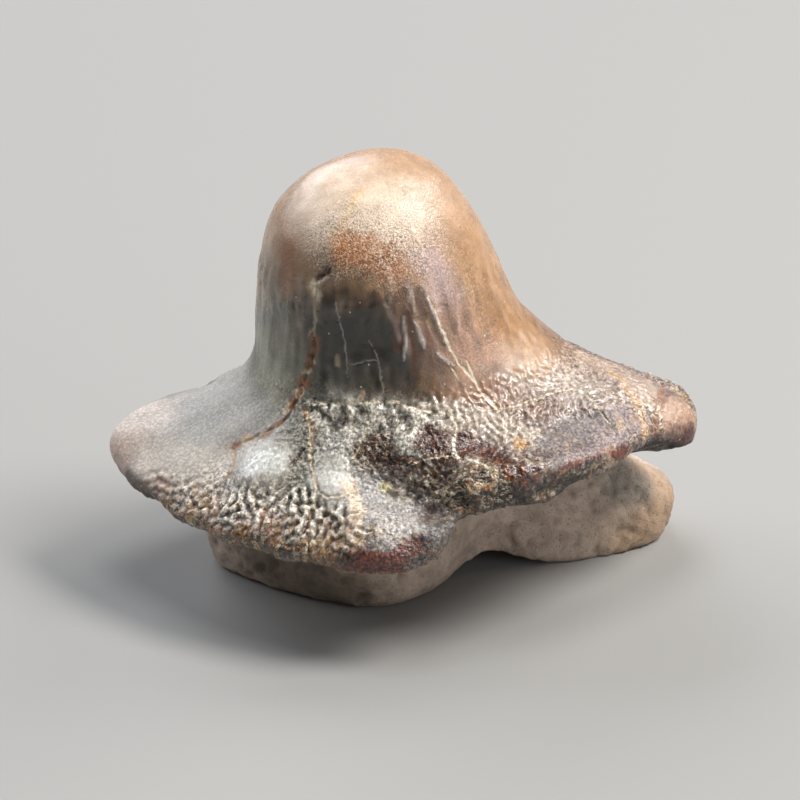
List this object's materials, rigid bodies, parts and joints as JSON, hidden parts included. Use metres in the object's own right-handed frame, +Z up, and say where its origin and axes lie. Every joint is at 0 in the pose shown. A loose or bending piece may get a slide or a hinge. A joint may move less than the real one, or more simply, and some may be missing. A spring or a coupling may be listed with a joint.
{
  "type": "fossil shark tooth",
  "caption": "Fossil crushing tooth of a Ptychodus shark: a tall rounded cusp on a wrinkled, drooping skirt, over a low, lobed root that it stands on.",
  "frame": {"origin": "middle of the bounding box in plan, on the plane of the root's flat pads", "axes": "+X along the crown, from its left wing to its right one; -Y towards the nose at the front; +Z up the cusp"},
  "size_m": [0.012, 0.009, 0.0091],
  "materials": {
    "fossil_tooth": "satin"
  },
  "bodies": {
    "root": {"tooth": "fossil_tooth"}
  },
  "joints": []
}
